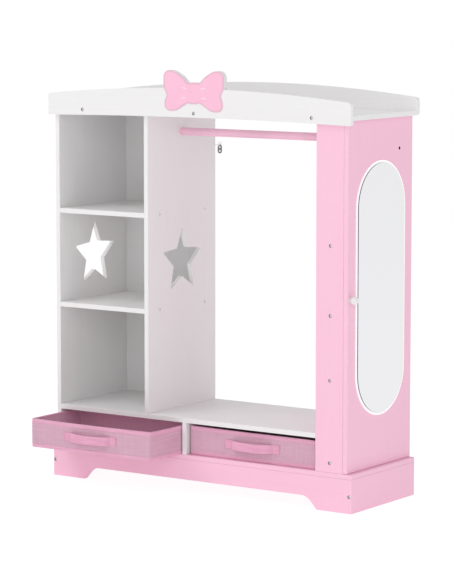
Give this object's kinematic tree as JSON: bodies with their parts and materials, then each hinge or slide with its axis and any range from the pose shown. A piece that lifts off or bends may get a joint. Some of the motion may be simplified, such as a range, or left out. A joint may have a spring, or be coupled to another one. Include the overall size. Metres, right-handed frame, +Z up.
{
  "type": "dress up storage unit",
  "caption": "Costume storage unit for a child: shelf bay, hanging rod, sliding fabric bins, star cut-outs, arched crown with a bow, and a mirrored side door on a narrow cabinet.",
  "frame": {"origin": "middle of the plinth's back bottom edge, on the floor", "axes": "+X to the right seen from the front, -Y to the front, +Z up"},
  "size_m": [0.9095, 0.471, 1.0485],
  "materials": {
    "white_paint": "satin white paint on fibreboard",
    "pink_paint": "satin pink paint on fibreboard",
    "mirror_plate": "silvered plate",
    "knob_lacquer": "glossy white lacquer",
    "dark_screw": "dark coating",
    "catch_housing": "matt",
    "bin_fabric": "plain woven polyester",
    "strap_webbing": "padded satin strap",
    "insert_board": "board covered in lining",
    "beech": "bare wood",
    "zinc_steel": "zinc plated"
  },
  "bodies": {
    "unit_frame": {"plinth_front": "pink_paint", "plinth_back": "pink_paint", "plinth_left": "pink_paint", "plinth_right": "pink_paint", "base_board": "pink_paint", "left_side_panel": "white_paint", "divider_panel": "white_paint", "left_bay_back": "white_paint", "upper_shelf": "white_paint", "lower_shelf": "white_paint", "floor_panel": "white_paint", "drawer_divider": "white_paint", "drawer_bay_back": "white_paint", "top_panel": "white_paint", "crown_front": "white_paint", "bow_face": "pink_paint", "crown_back": "white_paint", "hanging_rod": "pink_paint", "cabinet_inner_panel": "pink_paint", "front_stile": "pink_paint", "rear_stile": "pink_paint", "cabinet_shelf_bottom": "pink_paint", "cabinet_shelf_low": "pink_paint", "cabinet_shelf_middle": "pink_paint", "cabinet_shelf_upper": "pink_paint", "upper_hinge_frame_leaf": "zinc_steel", "lower_hinge_frame_leaf": "zinc_steel", "hinge_pins": "zinc_steel", "cabinet_screws": "zinc_steel", "catch_magnet": "catch_housing", "crown_screws": "zinc_steel", "top_screws": "zinc_steel", "base_screws": "zinc_steel", "side_screws": "zinc_steel", "divider_screws": "zinc_steel", "floor_screws": "zinc_steel", "stile_screws": "zinc_steel", "plinth_screws": "zinc_steel", "plinth_dowels": "beech", "rod_screws": "zinc_steel", "tether_eye": "zinc_steel"},
    "mirror_door_leaf": {"mirror_door": "pink_paint", "mirror_surround": "white_paint", "mirror_glass": "mirror_plate", "door_knob": "knob_lacquer", "knob_screw": "zinc_steel", "door_face_screw": "dark_screw", "upper_hinge_door_leaf": "zinc_steel", "lower_hinge_door_leaf": "zinc_steel", "door_screws": "zinc_steel", "catch_plate": "zinc_steel"},
    "left_bin_body": {"left_bin": "bin_fabric", "left_bin_insert": "insert_board", "left_bin_handle": "strap_webbing"},
    "right_bin_body": {"right_bin": "bin_fabric", "right_bin_insert": "insert_board", "right_bin_handle": "strap_webbing"},
    "tether_link_body": {"tether_link": "zinc_steel"}
  },
  "joints": [
    {"name": "mirror_door_hinge", "type": "hinge", "parent": "unit_frame", "child": "mirror_door_leaf", "pos_m": [0.4237, 0.0026, 0.5175], "axis": [0, 0, 1], "range_deg": [0, 110]},
    {"name": "left_bin_slide", "type": "slide", "parent": "unit_frame", "child": "left_bin_body", "axis": [0, -1, 0], "range_m": [-0.139, 0.031]},
    {"name": "right_bin_slide", "type": "slide", "parent": "unit_frame", "child": "right_bin_body", "axis": [0, -1, 0], "range_m": [0, 0.17]},
    {"name": "tether_link_swing", "type": "hinge", "parent": "unit_frame", "child": "tether_link_body", "pos_m": [-0.1515, 0.025, 0.8403], "axis": [0, 1, 0], "range_deg": [-60, 60]}
  ]
}
